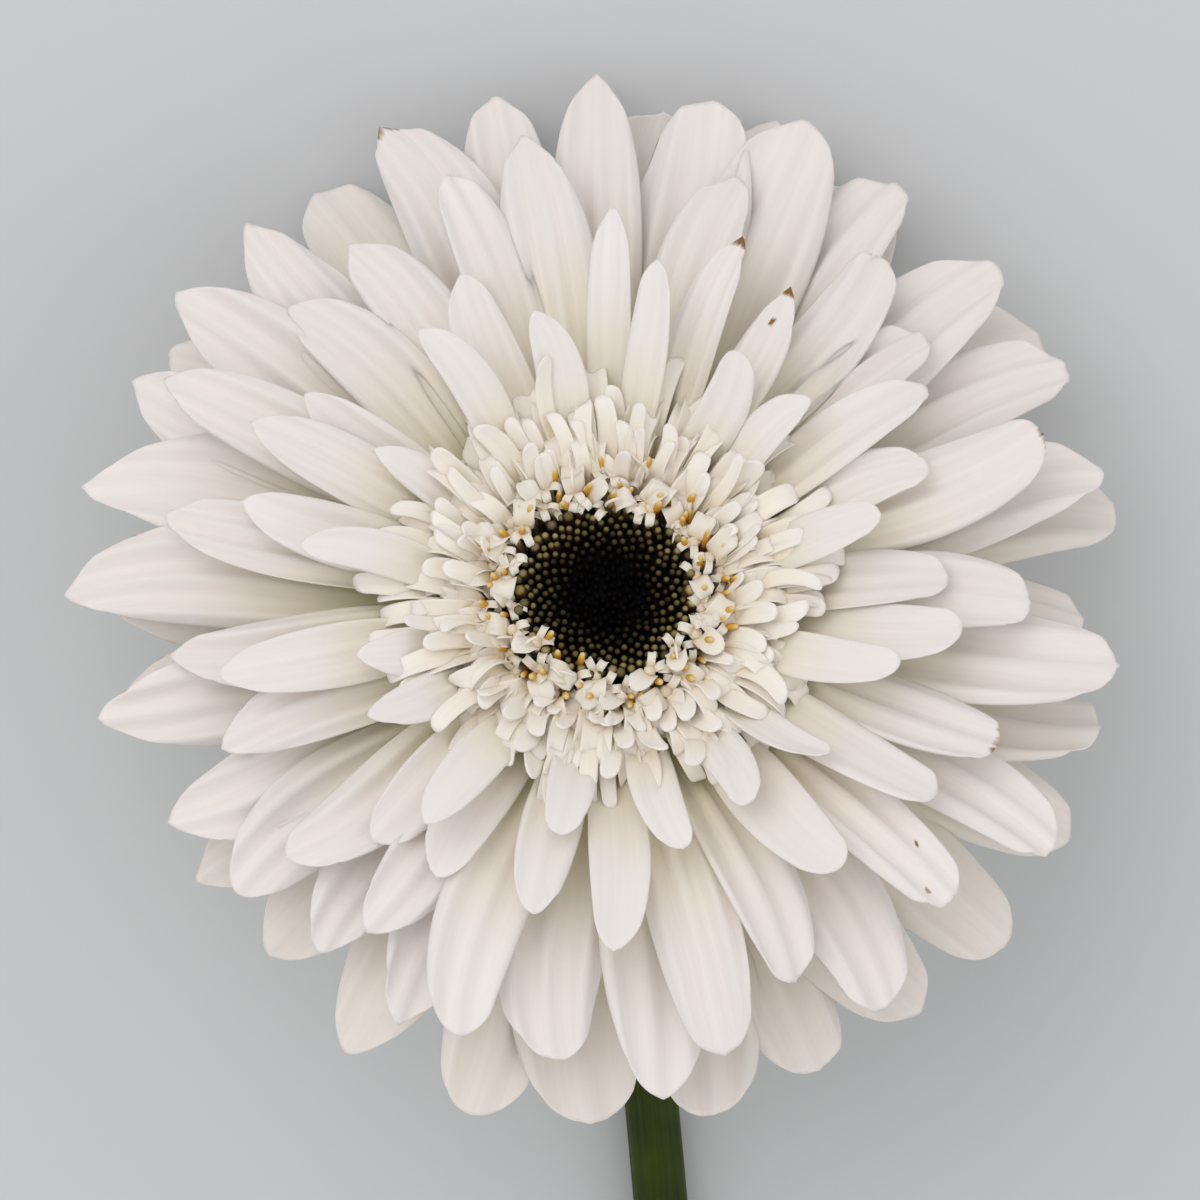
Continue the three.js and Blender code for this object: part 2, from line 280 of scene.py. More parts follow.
def multiplied(tree, colour, shade):
    mix = addNode(tree, "Mix", {"data_type": "RGBA", "blend_type": "MULTIPLY", 0: 1.0},
                  {6: colour.outputs[0], 7: shade.outputs[0]})
    return mix.outputs[2]


def bumped(tree, height, strength, distance):
    bump = addNode(tree, "Bump", {"Strength": strength, "Distance": distance},
                   {"Height": height.outputs[0]})
    return bump.outputs[0]


petalFinish = {
    "veinsPerCm": 16,     # real ones are about 30 per cm, drawn half as fine so that they show
    "ribsPerCm": 3.2,     # soft lengthwise folds
    "stain": "#8A6530",   # dried tips
    "roughness": 0.44,
    "glowDepth": 0.0006,  # metres that light spreads in the tissue
}


# White ligule tissue, grown in a bud and opened flat: a satin skin over wet, air-filled cells, so
# light spreads inside it and the parallel veins show as faint lines. Yellow-green at the base, and
# the stops of each tissue below also paint some light and shade of the hollows into that colour.
def rayLiguleTissue(name, look, glow, baseStops):
    material, tree = newMaterial(name)
    along, stain, chance = tintParts(tree)
    uv = addNode(tree, "UVMap", {"uv_map": "Blade"})
    shifted = addNode(tree, "CombineXYZ", links={2: chance})
    spot = addNode(tree, "VectorMath", {"operation": "MULTIPLY_ADD", 1: (1, 1, 0)},
                   {0: uv.outputs[0], 2: shifted.outputs[0]})
    veinPlace = addNode(tree, "Mapping", {"Scale": (look["veinsPerCm"], 0.5, 40)},
                        {0: spot.outputs[0]})
    veins = addNode(tree, "TexNoise", {"Scale": 1, "Detail": 2, "Roughness": 0.6},
                    {"Vector": veinPlace.outputs[0]})
    ribPlace = addNode(tree, "Mapping", {"Scale": (look["ribsPerCm"], 0.22, 30)},
                       {0: spot.outputs[0]})
    ribs = addNode(tree, "TexNoise", {"Scale": 1, "Detail": 1.5, "Roughness": 0.5},
                   {"Vector": ribPlace.outputs[0]})
    length = addNode(tree, "ValToRGB", {"stops": baseStops}, {0: along})
    veinShade = addNode(tree, "MapRange", {1: 0.35, 2: 0.7, 3: 1.0, 4: 0.96}, {0: veins.outputs[0]})
    # the colour darkens a little along the soft folds, as painted shade of the folds
    ribShade = addNode(tree, "MapRange", {1: 0.3, 2: 0.7, 3: 1.0, 4: 0.97}, {0: ribs.outputs[0]})
    shade = addNode(tree, "Math", {"operation": "MULTIPLY"},
                    {0: veinShade.outputs[0], 1: ribShade.outputs[0]})
    veined = multiplied(tree, length, shade)
    blot = addNode(tree, "Math", {"operation": "MULTIPLY_ADD", 2: -0.25},
                   {0: stain, 1: veins.outputs[0]})
    blotted = addNode(tree, "Math", {"operation": "MULTIPLY", 1: 4.0, "use_clamp": True},
                      {0: blot.outputs[0]})
    colour = addNode(tree, "Mix", {"data_type": "RGBA", 7: linear(look["stain"])},
                     {0: blotted.outputs[0], 6: veined})
    height = addNode(tree, "Math", {"operation": "MULTIPLY_ADD", 1: 0.35},
                     {0: veins.outputs[0], 2: ribs.outputs[0]})
    bump = bumped(tree, height, 0.22, 0.0003)
    gloss = addNode(tree, "MapRange", {1: 0.3, 2: 0.7, 3: look["roughness"] - 0.06,
                                       4: look["roughness"] + 0.08}, {0: ribs.outputs[0]})
    shader = addNode(tree, "BsdfPrincipled", {
        "Subsurface Weight": glow, "Subsurface Radius": (0.95, 0.97, 1.0),
        "Subsurface Scale": look["glowDepth"], "IOR": 1.4, "Specular IOR Level": 0.5,
        "Sheen Weight": 0.08, "Sheen Roughness": 0.5,
    }, {"Base Color": colour.outputs[2], "Roughness": gloss.outputs[0], "Normal": bump})
    closeMaterial(tree, shader)
    return material


# the yellow-green of the base runs well up the blade: partly the ligule's own colour and partly painted
# shade of the hollows where the petals overlap
rayTissue = rayLiguleTissue("rayLiguleTissue", petalFinish, 0.5, [
    (0.0, "#CDCC8A"), (0.15, "#E6E1BA"), (0.38, "#F2EBD9"), (0.68, "#F6EFEC"), (1.0, "#F6EFEE"),
])
# the back row's tissue: the same ligule drawn greyer and more olive all along, as painted shade for the
# petals lying under the others
backRayPaintedShadeTissue = rayLiguleTissue("backRayLiguleTissuePaintedShade", petalFinish, 0.4, [
    (0.0, "#BABD7C"), (0.2, "#DCD7AE"), (0.45, "#EAE4CE"), (0.75, "#F0E9E0"), (1.0, "#F0E9E5"),
])
floretFinish = {**petalFinish, "veinsPerCm": 22, "glowDepth": 0.0004}
# the florets' cream-yellow base is partly their own colour and partly painted light that brightens the
# deep gaps between them
floretTissue = rayLiguleTissue("transFloretTissue", floretFinish, 0.3, [
    (0.0, "#EEDFA6"), (0.35, "#F7EACC"), (0.65, "#FCF4E8"), (1.0, "#FDF7F2"),
])
corollaTissue = rayLiguleTissue("discCorollaTissue", {**petalFinish, "veinsPerCm": 22}, 0.4, [
    (0.0, "#6B4A24"), (0.3, "#C79C55"), (0.5, "#F0E2C6"), (0.7, "#F8F1E4"), (1.0, "#FBF6EC"),
])


# Pollen-dusted anther tubes: dry grains on a brown tube, so a matt and grainy yellow orange.
def antherPollen():
    material, tree = newMaterial("antherPollen")
    along = tintParts(tree)[0]
    grains = noiseOf(tree, 9000, 2)
    height = addNode(tree, "ValToRGB", {"stops": [
        (0.0, "#3A2410"), (0.3, "#8A5A1C"), (0.5, "#D4921E"), (0.85, "#E9B83C"), (1.0, "#F2DFA8"),
    ]}, {0: along})
    grainy = addNode(tree, "MapRange", {1: 0.35, 2: 0.65, 3: 0.82, 4: 1.0}, {0: grains.outputs[0]})
    colour = multiplied(tree, height, grainy)
    bump = bumped(tree, grains, 0.5, 0.0001)
    shader = addNode(tree, "BsdfPrincipled", {"Roughness": 0.75, "Subsurface Weight": 0.1,
                                              "Subsurface Scale": 0.0005},
                     {"Base Color": colour, "Normal": bump})
    closeMaterial(tree, shader)
    return material


# Closed disc buds: waxy brown-black cells with a cream-olive cap where the lobes meet.
def budWax():
    material, tree = newMaterial("budWax")
    high, ripe, chance = tintParts(tree)
    cap = addNode(tree, "MapRange", {1: 0.78, 2: 0.98}, {0: high})
    capped = addNode(tree, "Math", {"operation": "MULTIPLY", "use_clamp": True},
                     {0: cap.outputs[0], 1: ripe})
    tip = addNode(tree, "ValToRGB", {
        "stops": [(0.0, "#7C7040"), (0.6, "#A89B60"), (1.0, "#D6C998")],
    }, {0: chance})
    body = addNode(tree, "ValToRGB", {
        "stops": [(0.0, "#050303"), (0.4, "#1C1109"), (1.0, "#4A3820")],
    }, {0: ripe})
    colour = addNode(tree, "Mix", {"data_type": "RGBA"},
                     {0: capped.outputs[0], 6: body.outputs[0], 7: tip.outputs[0]})
    bump = bumped(tree, noiseOf(tree, 5000, 1), 0.25, 0.0001)
    shader = addNode(tree, "BsdfPrincipled", {
        "Roughness": 0.65, "IOR": 1.42, "Specular IOR Level": 0.08,
    }, {"Base Color": colour.outputs[2], "Normal": bump})
    closeMaterial(tree, shader)
    return material


# Green scape and bract skin: waxed living tissue with fine lengthwise ribs and a pale bloom.
def greenSkin(name, dark, light, edge, ribScale, down):
    material, tree = newMaterial(name)
    pale = tintParts(tree)[1]
    uv = addNode(tree, "UVMap", {"uv_map": "Blade"})
    place = addNode(tree, "Mapping", {"Scale": (ribScale, 0.5, 1)}, {0: uv.outputs[0]})
    ribs = addNode(tree, "TexNoise", {"Scale": 1, "Detail": 3}, {"Vector": place.outputs[0]})
    blotch = noiseOf(tree, 120, 3)
    mixed = addNode(tree, "Math", {"operation": "MULTIPLY_ADD", 1: 0.5},
                    {0: ribs.outputs[0], 2: blotch.outputs[0]})
    green = addNode(tree, "ValToRGB", {"stops": [(0.45, dark), (1.0, light)]}, {0: mixed.outputs[0]})
    colour = addNode(tree, "Mix", {"data_type": "RGBA", 7: linear(edge)},
                     {0: pale, 6: green.outputs[0]})
    bump = bumped(tree, ribs, 0.4, 0.0003)
    shader = addNode(tree, "BsdfPrincipled", {
        "Roughness": 0.5, "IOR": 1.42, "Specular IOR Level": 0.25, "Subsurface Weight": 0.15,
        "Subsurface Radius": (0.6, 1.0, 0.3), "Subsurface Scale": 0.001, "Sheen Weight": down,
        "Sheen Roughness": 0.4,
    }, {"Base Color": colour.outputs[2], "Normal": bump})
    closeMaterial(tree, shader)
    return material


pollen = antherPollen()
budSkin = budWax()
bractSkin = greenSkin("bractHairySkin", "#46562A", "#7C8C4C", "#CFCBA0", 30, 0.2)
scapeSkin = greenSkin("scapeWaxySkin", "#1C2A00", "#3C4C02", "#C9CC9C", 12, 0.04)
print("materials made")


# Height of the surface's soft push: a point above the floor keeps its place, and one that would
# sink levels off, as floor + softness * log(1 + exp((z - floor) / softness))
def settle(points, floor, softness=0.5):
    world = toWorld(points)
    lift = np.logaddexp(0, (world[..., 2] / mm - floor) / softness)
    world[..., 2] = (floor + softness * lift) * mm
    return toHead(world)


# One strap-shaped blade. Along the middle the slope goes evenly from rise to droop, plus a curl
# near the tip; its cosine and sine, summed along the length, give how far out and up it is. A
# point across the blade stands width(u) * v to the side and bend(u, v) above that middle line:
# a cup v^2, pleats 1 - |sin(n pi v)|, a keel |v| near the tip, rolled edges v^6 and a wave
# sin(s) v|v|. The tip's outline comes from shortening each lengthwise line by k(v), round as
# 1 - sqrt(1 - v^2) or pointed as |v|^1.5. A reach of None leaves the length to the look.
def blade(clock, reach, row, look, dice):
    rows, columns = look["rings"], look["columns"]
    t = np.linspace(0, 1, rows)[:, None]
    u = (t + np.sin(t * np.pi / 2)) / 2
    even = np.linspace(-1, 1, columns)[None, :]
    v = (even + np.sin(even * np.pi / 2)) / 2
    jitter = lambda key: look.get(key + "Spread", 0) * dice.uniform(-1, 1)
    rise = row["rise"] + jitter("rise")
    droop = row["droop"] + look.get("extraDroop", 0) + jitter("droop")
    curl = look.get("curl", 0) + jitter("curl")
    point = np.clip(look["point"] + jitter("point"), 0, 1)
    half = look["width"] * (1 + jitter("width")) / 2

    fine = np.linspace(0, 1, 201)  # places along the middle line where its slope is taken
    slope = np.radians(rise + (droop - rise) * fine + curl * fine ** look.get("curlLate", 5))
    run, lift = runAndLift(slope)
    length = look["length"] if reach is None else (reach - row["radius"]) / run[-1]

    base = look["baseWidth"] / 2 / half
    belly = look["belly"]
    grown = np.sin(np.minimum(u / belly, 1) * np.pi / 2)
    past = np.clip((u - belly) / (1 - belly), 0, 1)
    width = half * (base + (1 - base) * grown) * (1 - look["taper"] * past ** 2)

    roundTip = 1 - np.sqrt(np.maximum(1 - v ** 2, 0))
    sharpTip = np.abs(v) ** 1.5
    teeth = np.sin(np.pi * v / 0.3) ** 2 * np.exp(-(v / 0.35) ** 2)
    shortening = look["tip"] * half / length * ((1 - point) * roundTip + point * 1.8 * sharpTip)
    notch = max(0, look.get("notch", 0) + jitter("notch"))
    shortening = np.minimum(shortening + notch / length * teeth, 0.3)
    s = u * (1 - shortening * u ** 2)

    out = row["radius"] + np.interp(s, fine, run) * length
    up = row["height"] + np.interp(s, fine, lift) * length
    tilt = np.interp(s, fine, slope)

    turn = np.radians(look.get("roll", 0) + jitter("roll")) * np.minimum(1, 3 * s)
    turn = turn + np.radians(jitter("twist")) * s
    x = v * width
    phase, waves = dice.uniform(0, fullTurn), dice.uniform(0.8, 1.6)
    offset, pleats = dice.uniform(-0.7, 0.7), look.get("pleats", 1.5) + jitter("pleats")
    crest = 1 - np.sqrt(np.sin(pleats * np.pi * v + offset) ** 2 + 0.006)
    depth = max(0, look.get("pleatDepth", 0) + jitter("pleatDepth"))
    bend = row["cup"] * width * (v ** 2 - 0.3) * np.minimum(1, 4 * s)
    bend = bend + depth * width / half * crest * np.minimum(1, 3 * s) * (1 - 0.3 * s)
    bend = bend + look.get("keel", 0) * width * (np.sqrt(v ** 2 + 0.01) - 0.4) * s ** 2
    bend = bend - look.get("rolled", 0) * width * v ** 6 * s
    bend = bend + look.get("wave", 0) * width * np.sin(waves * fullTurn * s + phase) * v * np.abs(v)
    sway = look.get("sway", 0) * length * s ** 2 + jitter("bow") * length * s ** 2 * (1 - s) * 6

    angle = np.radians(clock)
    outward = np.array([np.sin(angle), np.cos(angle), 0])
    side = np.array([outward[1], -outward[0], 0])
    upward = np.array([0, 0, 1.0])
    normal = np.cos(tilt)[..., None] * upward - np.sin(tilt)[..., None] * outward
    across = np.cos(turn)[..., None] * side + np.sin(turn)[..., None] * normal
    above = np.cos(turn)[..., None] * normal - np.sin(turn)[..., None] * side
    centre = out[..., None] * outward + up[..., None] * upward + sway[..., None] * side
    surface = centre + x[..., None] * across + bend[..., None] * above
    if look.get("floor") is not None:
        surface = settle(surface, look["floor"])

    facing = np.cross(np.gradient(surface, axis=1), np.gradient(surface, axis=0))
    facing /= np.maximum(np.linalg.norm(facing, axis=-1, keepdims=True), 1e-9)
    thick = look["thickness"] * (1 - 0.4 * s) * (1 - 0.6 * np.abs(v) ** 3)
    upper = surface + facing * thick[..., None] / 2
    lower = surface - facing * thick[..., None] / 2
    points, quads = slab(upper, lower)

    uv = np.stack([np.broadcast_to(x / 10, s.shape), s * length / 10], -1).reshape(-1, 2)
    stain = np.zeros(s.shape)
    if look.get("stainTip"):
        stain = look["stainTip"] * np.clip((s - 1 + look.get("stainLength", 0.05)) / 0.04, 0, 1)
    for spotAlong, spotAcross, spotSize in look.get("spots", ()):
        away = np.hypot((s - spotAlong) * length, x - spotAcross * width) / spotSize
        stain = np.maximum(stain, 1.4 * np.exp(-away ** 2))
    chance = np.full(s.shape, dice.uniform(0, 1))
    tint = np.stack([s, stain, chance, np.ones(s.shape)], -1).reshape(-1, 4)
    return points, quads, np.tile(uv, (2, 1)), np.tile(tint, (2, 1))


# the receptacle's face: level over the eye and falling in a cone to its rim
faceRise, clearance, collarHeight = 2.6, 0.35, 0.8
eyeRadius = coreRadius - 5.6


def faceAt(radius):
    return faceRise * np.clip((coreRadius - radius) / (coreRadius - eyeRadius), 0, 1)


def onFace(radius):
    return {"radius": radius, "height": faceAt(radius) + clearance + collarHeight / 2}


headDiameter = 115
reachOf = lambda thousandths: thousandths / 1000 * headDiameter

# each floret is [clock, reach]: degrees clockwise from the side away from the stem, and how far
# its tip stands from the head's axis, in thousandths of the head's diameter
backRays = [
    [6, 528], [18, 536], [30, 520], [54, 515], [76, 503], [89, 455], [102, 480], [114, 482],
    [129, 485], [142, 474], [155, 472], [168, 486], [182, 481], [195, 493], [211, 478],
    [225, 450], [238, 456], [260, 473], [275, 485], [289, 488], [304, 510], [328, 526],
    [341, 522],
]
frontRays = [
    [359, 541], [11, 518], [22, 518], [33, 506], [48, 506], [61, 502], [77, 492], [97, 488],
    [120, 484], [146, 467], [172, 481], [188, 446], [206, 446], [219, 430], [231, 448],
    [243, 462], [257, 492], [272, 514], [285, 514], [297, 508], [307, 515], [318, 516],
    [336, 534], [348, 529],
]
middleRays = [
    [17, 436], [38, 427], [50, 396], [70, 440], [91, 400], [112, 396], [134, 444], [155, 414],
    [166, 456], [198, 452], [214, 400], [229, 396], [247, 392], [262, 414], [280, 423],
    [297, 470], [314, 420], [325, 427], [340, 444], [350, 470],
]
innerRays = [
    [1, 370], [21, 362], [31, 340], [58, 357], [69, 326], [88, 322], [98, 336], [124, 370],
    [143, 357], [179, 362], [192, 332], [209, 326], [221, 330], [256, 374], [283, 352],
    [294, 366], [303, 340], [336, 336],
]
shortRays = [
    [9, 305], [30, 250], [48, 257], [78, 262], [109, 288], [131, 270], [150, 262], [165, 275],
    [190, 255], [214, 300], [238, 262], [252, 245], [275, 288], [300, 252], [323, 292], [345, 262],
]

# rise and droop are a blade's slopes at its base and tip, in degrees above the head's face
outside = {"radius": coreRadius + clearance}
rows = {
    "back": {**outside, "height": -3.4, "rise": 3, "droop": -17, "cup": -0.05},
    "front": {**outside, "height": -1.4, "rise": 14, "droop": -6, "cup": 0.08},
    "middle": {**onFace(coreRadius - 0.7), "rise": 25, "droop": -6, "cup": 0.1},
    "inner": {**onFace(coreRadius - 1.7), "rise": 37, "droop": 5, "cup": 0.12},
    "short": {**onFace(coreRadius - 2.7), "rise": 50, "droop": 22, "cup": 0.14},
}

# lengths in mm, angles in degrees; cup, keel, rolled and wave are shares of the half width
rayLook = {
    "rings": 44, "columns": 25, "thickness": 0.42,
    "widthSpread": 0.1, "baseWidth": 3.2, "belly": 0.62, "taper": 0.2,
    "tip": 1.0, "pointSpread": 0.22, "notch": 0.12, "notchSpread": 0.2,
    "riseSpread": 1.5, "droopSpread": 5, "curl": -4, "curlSpread": 18, "bowSpread": 0.07,
    "roll": 12, "rollSpread": 9, "twistSpread": 16, "rolled": 0.12, "keel": 0.14, "wave": 0.06,
    "pleats": 1.4, "pleatsSpread": 0.2, "pleatDepth": 1.6, "pleatDepthSpread": 0.5,
}


# tips are long and pointed on the side at nine o'clock and blunt on the other, and petals
# there are a little wider: each is a cosine round the clock
def pointedness(clock):
    return 0.28 + 0.34 * np.cos(np.radians(clock - 290))


def breadth(clock):
    return 1 + 0.04 * np.cos(np.radians(clock - 100))


# what single florets have of their own: (row, clock) to changes
special = {
    ("back", 182): {"width": 15, "point": 0.1}, ("back", 168): {"width": 14},
    ("back", 6): {"width": 15, "point": 0, "extraDroop": 6},
    ("back", 18): {"width": 17, "point": 0, "extraDroop": 7},
    ("back", 30): {"width": 16, "point": 0, "extraDroop": 6},
    ("back", 54): {"width": 14, "point": 0, "extraDroop": 6},
    ("back", 328): {"width": 13.5, "point": 0.1, "extraDroop": 12},
    ("back", 211): {"width": 13.5, "point": 0.3},
    ("front", 172): {"width": 13, "sway": 0.04}, ("front", 188): {"width": 12.5, "sway": -0.04},
    ("front", 336): {"stainTip": 0.9, "stainLength": 0.05},
    ("front", 359): {"point": 0.95, "width": 9.6},
    ("front", 11): {"point": 0, "width": 13.5}, ("front", 22): {"point": 0, "width": 14.5},
    ("front", 33): {"point": 0, "width": 13.5}, ("front", 48): {"point": 0.1, "width": 12.5},
    ("front", 77): {"point": 0.2, "width": 14, "sway": -0.07},
    ("front", 257): {"width": 12.5, "point": 0.55}, ("front", 272): {"width": 12.8, "point": 0.6},
    ("front", 285): {"width": 13.5, "point": 0.5, "sway": -0.03},
    ("front", 97): {"point": 0.35, "width": 12.5, "pleatDepth": 1.7},
    ("middle", 350): {"width": 10.6, "point": 0.6},
    ("middle", 70): {"stainTip": 1.1, "stainLength": 0.035},
    ("middle", 112): {"stainTip": 0.8, "stainLength": 0.05},
    ("middle", 134): {"spots": [(0.93, 0.3, 0.5), (0.8, -0.5, 0.35)]},
    ("inner", 21): {"stainTip": 1.2, "stainLength": 0.065, "point": 0.8, "width": 6.2},
    ("inner", 31): {"stainTip": 1.2, "stainLength": 0.06, "point": 0.8, "width": 6.4,
                    "spots": [(0.84, -0.2, 0.55)]},
    ("inner", 1): {"point": 0.9, "width": 4.6},
}


def floretLook(rowName, clock, changes):
    look = {**rayLook, **changes}
    look["width"] *= breadth(clock)
    look["point"] = pointedness(clock)
    look.update(special.get((rowName, clock), {}))
    return look


longRows = {
    "back": {"list": backRays, "seed": 11, "floor": 0.33, "width": 12.0, "skin": backRayPaintedShadeTissue},
    "front": {"list": frontRays, "seed": 23, "floor": 1.3, "width": 11.2, "skin": rayTissue},
}
for rowName, plan in longRows.items():
    dice = np.random.default_rng(plan["seed"])
    for number, (clock, reach) in enumerate(plan["list"], start=1):
        build = Build()
        look = floretLook(rowName, clock, {"floor": plan["floor"], "width": plan["width"]})
        points, quads, uv, tint = blade(clock, reachOf(reach), rows[rowName], look, dice)
        build.put(points, quads, uv=uv, tint=tint)
        node = f"{rowName}_ray_{number:02d}"
        build.finish(f"{rowName}Ray{number:02d}", plan["skin"], "ray_white", [node])
print("long rays made")

shortRows = {
    "middle": {"list": middleRays, "seed": 37, "look": {
        "rings": 40, "columns": 21, "width": 8.9, "roll": 8, "curlSpread": 15,
    }},
    "inner": {"list": innerRays, "seed": 41, "look": {
        "rings": 36, "columns": 19, "width": 6.9, "baseWidth": 2.2, "thickness": 0.38, "roll": 7,
        "curlSpread": 16, "pleatDepth": 0.45,
    }},
    "short": {"list": shortRays, "seed": 53, "look": {
        "rings": 28, "columns": 15, "width": 5.2, "baseWidth": 1.8, "thickness": 0.34, "roll": 6,
        "rollSpread": 15, "curlSpread": 20, "pleatDepth": 0.3, "pleatDepthSpread": 0.2,
    }},
}
for rowName, plan in shortRows.items():
    dice = np.random.default_rng(plan["seed"])
    build = Build()
    for clock, reach in plan["list"]:
        look = floretLook(rowName, clock, plan["look"])
        points, quads, uv, tint = blade(clock, reachOf(reach), rows[rowName], look, dice)
        build.put(points, quads, uv=uv, tint=tint)
    build.finish(f"{rowName}Rays", rayTissue, "ray_white", [f"{rowName}_rays"])
print("short rays made")


# trans florets: small tongues that stand up round the disc, longest outside
transLook = {
    "rings": 14, "columns": 7, "baseWidth": 1.0, "belly": 0.7, "taper": 0.1, "tip": 0.8,
    "point": 0.08, "pointSpread": 0.12, "thickness": 0.48, "widthSpread": 0.25,
    "rollSpread": 25, "twistSpread": 30, "riseSpread": 8, "droopSpread": 9, "curl": -90,
    "curlSpread": 110, "curlLate": 4, "bowSpread": 0.12, "keel": -0.12, "wave": 0.12,
}
transRings = {
    "outer": {"node": "trans_florets_outer", "seed": 61, "rings": [
        {"count": 66, "inset": 2.9, "rise": 52, "droop": 28, "length": 16.0, "width": 2.35, "cup": 0.28},
        {"count": 70, "inset": 3.3, "rise": 58, "droop": 34, "length": 14.0, "width": 2.25, "cup": 0.3},
        {"count": 68, "inset": 3.7, "rise": 63, "droop": 40, "length": 12.4, "width": 2.15, "cup": 0.34},
    ]},
    "inner": {"node": "trans_florets_inner", "seed": 67, "rings": [
        {"count": 60, "inset": 4.05, "rise": 67, "droop": 48, "length": 10.6, "width": 2.05, "cup": 0.38},
        {"count": 50, "inset": 4.4, "rise": 69, "droop": 54, "length": 8.6, "width": 1.95, "cup": 0.42},
    ]},
}
for name, plan in transRings.items():
    dice = np.random.default_rng(plan["seed"])
    build = Build()
    for ring in plan["rings"]:
        row = {**onFace(coreRadius - ring["inset"]), "rise": ring["rise"], "droop": ring["droop"],
               "cup": ring["cup"]}
        count = ring["count"]
        clocks = (np.arange(count) + dice.uniform(-0.35, 0.35, count)) * 360 / count
        for clock in clocks:
            length = ring["length"] * dice.uniform(0.84, 1.1)
            look = {**transLook, "width": ring["width"], "length": length}
            points, quads, uv, tint = blade(clock, None, row, look, dice)
            build.put(points, quads, uv=uv, tint=tint)
    build.finish(f"{name}TransFlorets", floretTissue, "floret_white", [plan["node"]])
print("trans florets made")


# one open floret in millimetres, standing along z with its outer lip towards y: a tube that
# widens to a mouth, an outer lip with three teeth that curls back, and two thin inner lobes
def discCorolla(lean, seed):
    dice = np.random.default_rng(seed)
    corolla = Build()
    radii = [0.34, 0.36, 0.5, 0.66, 0.5]
    heights = [0, 2.0, 3.6, 4.6, 5.0]
    points, bands, fans = sleeve(turnedRings(radii, heights, 8))
    share = np.clip(points[:, 2:3] / heights[-1], 0, 1) * 0.55
    corolla.put(points, bands, fans, tint=alongTint(share, 0.5))
    plain = {"rings": 10, "columns": 6, "belly": 0.5, "taper": 0.1, "thickness": 0.2, "keel": 0.15,
             "wave": 0.25, "twistSpread": 30}
    lobe = {"width": 0.85, "baseWidth": 0.7, "tip": 1, "point": 0.4}
    lips = [
        (0, {"length": 3.7, "width": 2.3, "baseWidth": 1.5, "tip": 0.7, "point": 0.1, "notch": 0.2,
             "curl": lean}),
        (150, {**lobe, "length": 2.5, "curl": -120}),
        (210, {**lobe, "length": 2.4, "curl": -150}),
    ]
    for clock, look in lips:
        row = {"radius": 0.45, "height": 4.6, "rise": 84, "droop": -10, "cup": 0.3}
        points, quads, uv, tint = blade(clock, None, row, {**plain, **look, "curlLate": 2}, dice)
        tint[:, 0] = 0.45 + 0.55 * tint[:, 0]  # the lips carry on where the tube's colour ends
        corolla.put(points, quads, uv=uv, tint=tint)
    return corolla


# the anthers' joined tube, with the style's tip coming out of it
def antherTube():
    column = Build()
    radii = [0.28, 0.34, 0.36, 0.36, 0.28, 0.1]
    heights = [3.8, 4.8, 5.5, 6.3, 6.8, 7.1]
    points, bands, fans = sleeve(turnedRings(radii, heights, 7))
    share = np.clip((points[:, 2:3] - heights[0]) / (heights[-1] - heights[0]), 0, 1)
    column.put(points, bands, fans, tint=alongTint(share))
    return column


# a spent style: a thin curled strand, as rings round an arc that opens out of the floret
def spentStyle():
    strand = Build()
    turn = np.linspace(0, 1, 12)
    bend = np.radians(-20 + 200 * turn ** 1.5)
    step, mouth = 0.3, 4.6
    out, up = np.cumsum(np.sin(bend)) * step, np.cumsum(np.cos(bend)) * step
    middle = np.stack([0 * turn, out, mouth + up], -1)
    circle = turnedRings([1], [0], 5)[0]
    over = np.stack([0 * turn, np.cos(bend), -np.sin(bend)], -1)
    thick = np.interp(turn, [0, 0.7, 1], [0.13, 0.15, 0.06])[:, None, None]
    rim = circle[:, :1] * np.array([1, 0, 0]) + circle[:, 1:2] * over[:, None]
    rings = middle[:, None] + thick * rim
    points, bands, fans = sleeve(rings)
    pale = np.full((len(points), 1), 0.85)
    strand.put(points, bands, fans, tint=alongTint(pale, 0.85))
    return strand


# axes for pieces that stand round the head: each leans out by its tilt along its clock
# direction, and is turned about itself by its spin
def leaningAxes(clocks, tilts, spins):
    outward = np.stack([np.sin(clocks), np.cos(clocks), 0 * clocks], -1)
    side = np.stack([np.cos(clocks), -np.sin(clocks), 0 * clocks], -1)
    upward = np.array([0, 0, 1.0])
    tall = np.cos(tilts)[:, None] * upward + np.sin(tilts)[:, None] * outward
    front = np.cos(tilts)[:, None] * outward - np.sin(tilts)[:, None] * upward
    x = np.cos(spins)[:, None] * side + np.sin(spins)[:, None] * front
    y = np.cos(spins)[:, None] * front - np.sin(spins)[:, None] * side
    return np.stack([x, y, tall], 1)


# one mesh of many copies of a built shape, each with the shape's own colours
def scatter(template, places, axes, scales):
    build = Build()
    points = np.concatenate(template.points)
    uv, tint = np.concatenate(template.uvs), np.concatenate(template.tints)
    moved, allQuads = copies(points, joined(template.quads, 4), places, axes, scales)
    allFans = copies(points, joined(template.fans, 3), places, axes, scales)[1]
    again = (len(places), 1)
    build.put(moved, allQuads, allFans, np.tile(uv, again), np.tile(tint, again))
    return build


